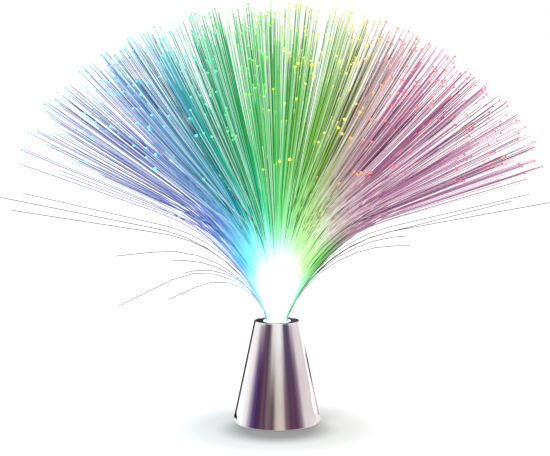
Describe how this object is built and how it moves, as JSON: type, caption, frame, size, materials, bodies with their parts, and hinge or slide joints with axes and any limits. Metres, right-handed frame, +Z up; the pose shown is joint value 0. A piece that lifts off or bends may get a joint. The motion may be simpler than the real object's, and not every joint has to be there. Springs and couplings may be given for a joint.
{
  "type": "fiber optic lamp",
  "caption": "Battery table lamp: a dome-shaped spray of coloured light-guide fibres stands in a chrome cone base.",
  "frame": {"origin": "centre of the ring that the base stands on", "axes": "+Z up along the cone's axis, +X along the row of LEDs from blue to red, -Y towards the viewer, switch at +Y"},
  "size_m": [0.4276, 0.4131, 0.3299],
  "materials": {
    "chrome_plate": "mirror-bright chrome plate over a drawn metal cone",
    "collar_black": "satin black moulded plastic",
    "hood_white": "white moulded reflector",
    "ferrule_white": "translucent white plastic, lit from below",
    "fibre_blue": "clear light-guide fibre carrying blue light",
    "fibre_green": "clear light-guide fibre carrying green light",
    "fibre_yellow": "clear light-guide fibre carrying yellow-green light",
    "fibre_red": "clear light-guide fibre carrying red-violet light",
    "fibre_loose": "clear light-guide fibre, nearly unlit",
    "board_green": "solder-masked fibreglass board",
    "led_blue": "tinted epoxy",
    "led_green": "tinted epoxy",
    "led_yellow": "tinted epoxy",
    "led_red": "tinted epoxy",
    "tinned_metal": "tinned sheet and wire",
    "chip_black": "moulded epoxy",
    "screw_steel": "zinc plated",
    "cover_black": "fine spark-eroded texture",
    "cell_sleeve": "plain printed sleeve",
    "contact_nickel": "nickel-plated spring steel",
    "slider_black": "moulded nylon",
    "wire_red": "PVC insulation",
    "wire_yellow": "PVC insulation",
    "wire_black": "PVC insulation"
  },
  "bodies": {
    "base": {"base_shell": "chrome_plate", "top_collar": "collar_black", "light_hood": "hood_white", "led_board": "board_green", "led_blue": "led_blue", "led_green": "led_green", "led_yellow": "led_yellow", "led_red": "led_red", "led_leads": "tinned_metal", "driver_chip": "chip_black", "resistors": "chip_black", "board_screws": "screw_steel", "bottom_cover": "cover_black", "cover_screws": "screw_steel", "cell_1": "cell_sleeve", "cell_2": "cell_sleeve", "cell_3": "cell_sleeve", "contact_minus": "contact_nickel", "contact_plus": "contact_nickel", "contact_bridge_left": "contact_nickel", "contact_bridge_right": "contact_nickel", "contact_springs": "contact_nickel", "switch_case": "tinned_metal", "switch_terminals": "tinned_metal", "wire_plus": "wire_red", "wire_switch": "wire_yellow", "wire_minus": "wire_black"},
    "door": {"battery_door": "cover_black"},
    "screw": {"door_screw": "screw_steel"},
    "slider": {"switch_slider": "slider_black"},
    "spray": {"ferrule": "ferrule_white", "fibres_blue": "fibre_blue", "fibres_green": "fibre_green", "fibres_yellow": "fibre_yellow", "fibres_red": "fibre_red", "fibres_loose": "fibre_loose"}
  },
  "joints": [
    {"name": "spray_lift", "type": "slide", "parent": "base", "child": "spray", "axis": [0, 0, 1], "range_m": [0, 0.025]},
    {"name": "door_swing", "type": "hinge", "parent": "base", "child": "door", "pos_m": [-0.0243, 0, 0.0012], "axis": [0, 1, 0], "range_deg": [0, 75]},
    {"name": "door_screw_turn", "type": "hinge", "parent": "door", "child": "screw", "pos_m": [0.0278, 0, 0.0012], "axis": [0, 0, 1], "continuous": true},
    {"name": "switch_slide", "type": "slide", "parent": "base", "child": "slider", "axis": [-1, 0, 0], "range_m": [0, 0.0025]}
  ]
}
